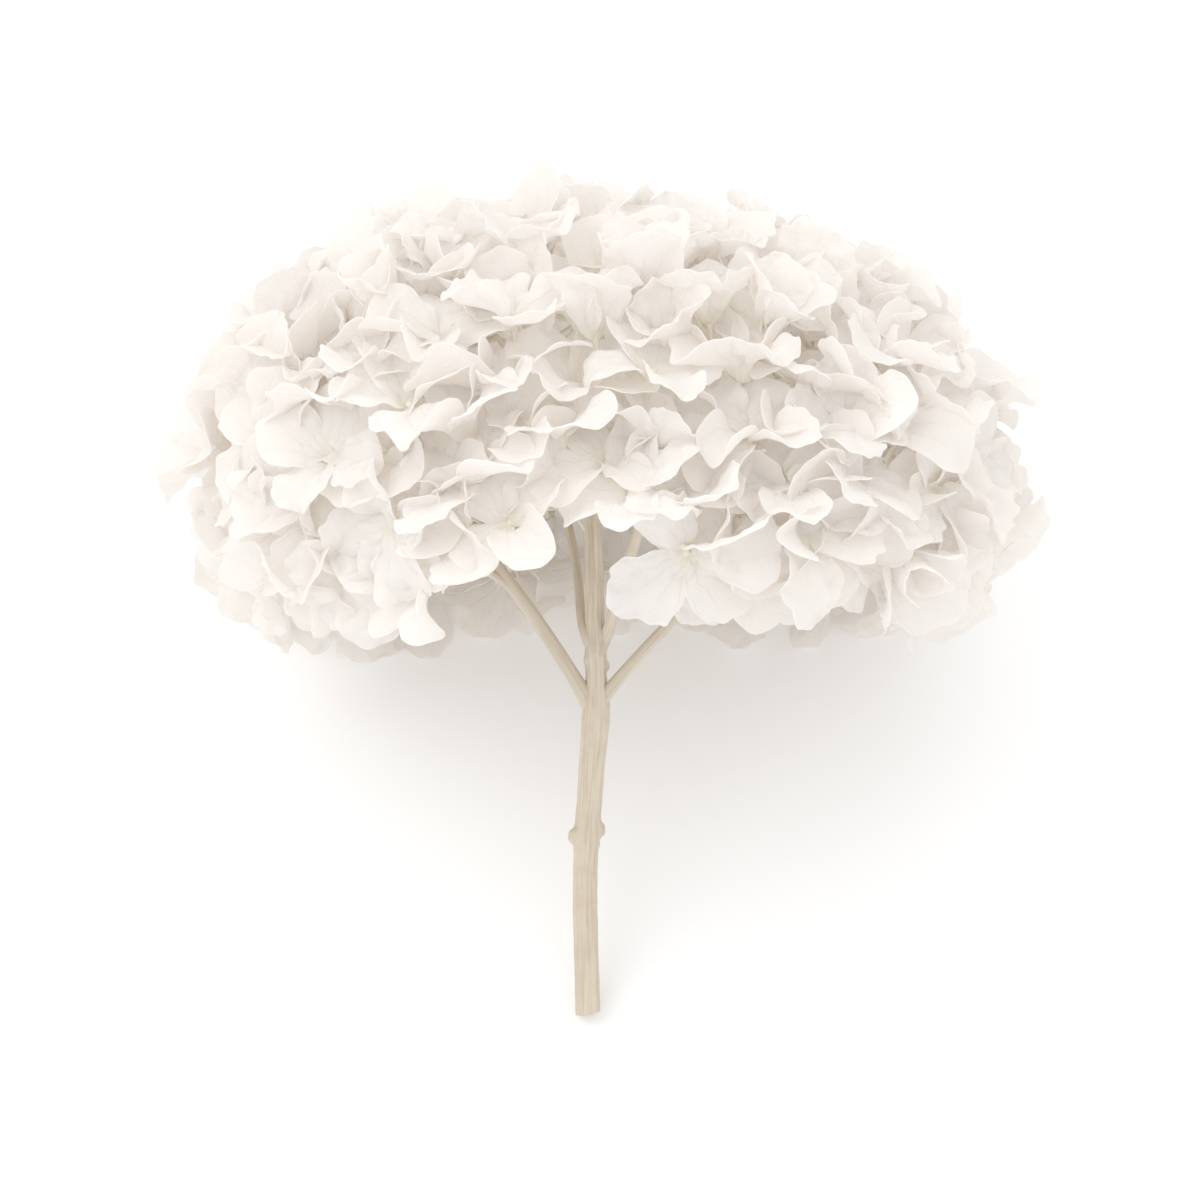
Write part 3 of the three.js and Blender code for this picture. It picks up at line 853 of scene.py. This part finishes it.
florets = [[main_floret(i)] for i in range(len(main))]
for direction, place in zip(extra_direction, extra_place):
    owner = int(np.linalg.norm(main_place - place, axis=1).argmin())
    florets[owner].append(extra_floret(direction, place))

seed = 0
for i, name in enumerate(floret_names):
    builder = Builder()
    for floret in florets[i]:
        seed += 1
        add_floret(builder, fork=forks[i], seed=seed, **floret)
    piece = builder.finish(f"florets_{name[-2:]}", [sepal_look, bud_look, stalk_look])
    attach(piece, "root")
    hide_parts(name)

# ---------------------------------------------------------------- stem

stem_path = curve_through([(x, h, 0) for x, h in STEM_LINE], 52)


def stem_point(height):
    return np.array([np.interp(height, stem_path[:, 1], stem_path[:, k]) for k in range(3)])


def stem_ridges(turn, along):
    """Grooves that run up the stem, its leaf scars and the faint ring under the lower pair."""
    swell = 0.17 * np.sin(5 * turn + 0.8 + 0.013 * along) + 0.13 * np.sin(9 * turn - 1.1 - 0.02 * along)
    swell = swell + 0.05 * np.sin(17 * turn + 0.6 * math.sin(along * 0.11))
    swell = swell + 0.04 * math.sin(along * 0.9) * np.sin(3 * turn + along * 0.35)
    for side, height, big, long in LEAF_SCARS:
        off = (turn - side + math.pi) % (2 * math.pi) - math.pi
        swell = swell + big * np.exp(-((off / 0.5) ** 4) - ((along - height) / long) ** 4)
        swell = swell - 0.3 * big * np.exp(-((off / 0.2) ** 2) - ((along - height - 0.4) / 0.7) ** 2)
    return swell + 0.2 * math.exp(-(((along - SCAR_RING) / 0.4) ** 2))


builder = Builder()
radii = np.interp(stem_path[:, 1], STEM_HEIGHTS, STEM_RADII)
add_tube(builder, stem_path, radii, sides=56, slot=0, tone=(0.0, 0.4), ridges=stem_ridges)
# The cut end is slanted: the corners under the cut are pushed up to it.
bark = builder.corners[0]
bark[:, 1] = np.maximum(bark[:, 1], 0.1 + (bark[:, 0] - stem_path[0, 0]) * math.tan(CUT_SLANT))
piece = builder.finish("stem_bark", [stem_look], soft=False)
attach(piece, "root")
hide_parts("stem")

# ---------------------------------------------------------------- branches


def branch_path(branch):
    """The branch parts from the stem slowly: its first stretch runs up inside the stem's bark."""
    start, knot = stem_point(branch["leaves"] + 1), branch["knot"]
    middle = (start + knot) / 2 + up * branch["bow"]
    inside = stem_point(branch["leaves"] - 9) + (middle - start) * [0.03, 0, 0.03]
    stations = [inside, start + unit(middle - start) * 0.8, middle, knot]
    if "flank" in branch:
        stations.insert(2, start + branch["flank"])
    return curve_through(stations, 18)


def add_branch(builder, path, radius, number):
    """It is thin inside the stem, thickest just outside it, and swells a little at its knot."""

    def grooves(turn, along):
        return 0.06 * np.sin(5 * turn + along * 0.03 + number) + 0.03 * np.sin(11 * turn - along * 0.05)

    share = np.linspace(0, 1, len(path))
    flare = 0.55 * np.exp(-(((share - 0.3) / 0.10) ** 2)) - 0.7 * np.exp(-((share / 0.16) ** 2))
    radii = radius * (1.14 - 0.30 * share) + flare
    radii = radii + 0.35 * np.exp(-(((share - 1) / 0.05) ** 2))
    add_tube(builder, path, radii, sides=24, slot=0, tone=(0.0, 0.1 * number), ridges=grooves)


def add_side_twig(builder, path, fork):
    """A twig that leaves the branch half way and carries the low florets beside it."""
    start = path[int(len(path) * 0.6)]
    twig = curve_through([start, start + [-8, 5.2, 3], (start + fork) / 2 + [0, 2, 2], fork], 8)
    add_tube(builder, twig, np.linspace(1.15, 0.75, len(twig)), sides=12, slot=0, tone=(0.1, 0.3))


def add_knot_twig(builder, knot, fork):
    """One of the knot's twigs, which leads to a floret's fork."""
    bend = knot + (fork - knot) * 0.5 + rng.normal(0, 1.2, 3)
    path = curve_through([knot - unit(fork - knot) * 0.5, bend, fork], 7)
    share = np.linspace(0, 1, len(path))
    radii = 0.98 - 0.22 * share + 0.3 * np.exp(-((share / 0.12) ** 2))
    radii = radii + 0.16 * np.exp(-(((share - 1) / 0.1) ** 2))
    add_tube(builder, path, radii, sides=12, slot=0, tone=(0.2, rng.random()))


for number, (name, branch) in enumerate(BRANCHES.items()):
    builder = Builder()
    path = branch_path(branch)
    add_branch(builder, path, branch["radius"], number)
    if name == "branch_left":
        add_side_twig(builder, path, forks[SIDE_TWIG_FLORET])
    for i in np.flatnonzero(home == number):
        add_knot_twig(builder, branch["knot"], forks[i])
    piece = builder.finish(name + "_twigs", [branch_look])
    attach(piece, "root")
    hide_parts(name)

# ---------------------------------------------------------------- floor, light and camera

bpy.ops.mesh.primitive_plane_add(size=14, location=(0, 0, 0))
floor = bpy.context.object
floor.name = "floor"
material, tree = new_material("floor")
solid = node(tree, "ShaderNodeBsdfPrincipled", {"Base Color": (0.98, 0.98, 0.98, 1), "Roughness": 0.9})
node(tree, "ShaderNodeOutputMaterial", {"Surface": solid.outputs[0]})
floor.data.materials.append(material)

scene = bpy.context.scene
world = bpy.data.worlds.new("studio")
scene.world = world
world.use_nodes = True
background = world.node_tree.nodes.get("Background")
background.inputs["Color"].default_value = (1.0, 0.995, 0.985, 1)
background.inputs["Strength"].default_value = 1.06


def area_light(name, place, aim, size, power, colour):
    light = bpy.data.lights.new(name, "AREA")
    light.shape = "DISK"
    light.size = size
    light.energy = power
    light.color = colour
    lamp = bpy.data.objects.new(name, light)
    lamp.location = place
    lamp.rotation_mode = "QUATERNION"
    lamp.rotation_quaternion = (Vector(aim) - Vector(place)).to_track_quat("-Z", "Y")
    scene.collection.objects.link(lamp)


area_light("key", (-1.1, 0.1, 1.6), (0, 0.02, 0.08), 1.5, 13, (1.0, 0.99, 0.97))
area_light("fill", (0.2, 0.9, 1.6), (0, 0, 0.08), 1.6, 6, (1.0, 0.99, 0.98))

# A pale, high-key picture: light is passed on from sepal to sepal many times.
scene.view_settings.view_transform = "Standard"
scene.view_settings.look = "None"
scene.view_settings.exposure = 0.0
scene.view_settings.gamma = 1.85
scene.cycles.max_bounces = 20
scene.cycles.diffuse_bounces = 10
scene.cycles.transmission_bounces = 16

# The camera looks square at the front of the flower, from far off.
PICTURE_WIDTH = 300.0
DISTANCE = 1300.0
aim = to_world(np.array([1.0, 103.75, 0.0]))
back = TURN @ np.array([0, 0, 1.0])
camera = bpy.data.cameras.new("camera")
camera.sensor_width = 36
camera.lens = 36 * DISTANCE / PICTURE_WIDTH
camera.clip_start, camera.clip_end = 0.05, 50
eye = bpy.data.objects.new("camera", camera)
eye.location = Vector((aim + back * DISTANCE) * MM)
eye.rotation_mode = "QUATERNION"
eye.rotation_quaternion = Vector(-back).to_track_quat("-Z", "Y")
scene.collection.objects.link(eye)
scene.camera = eye
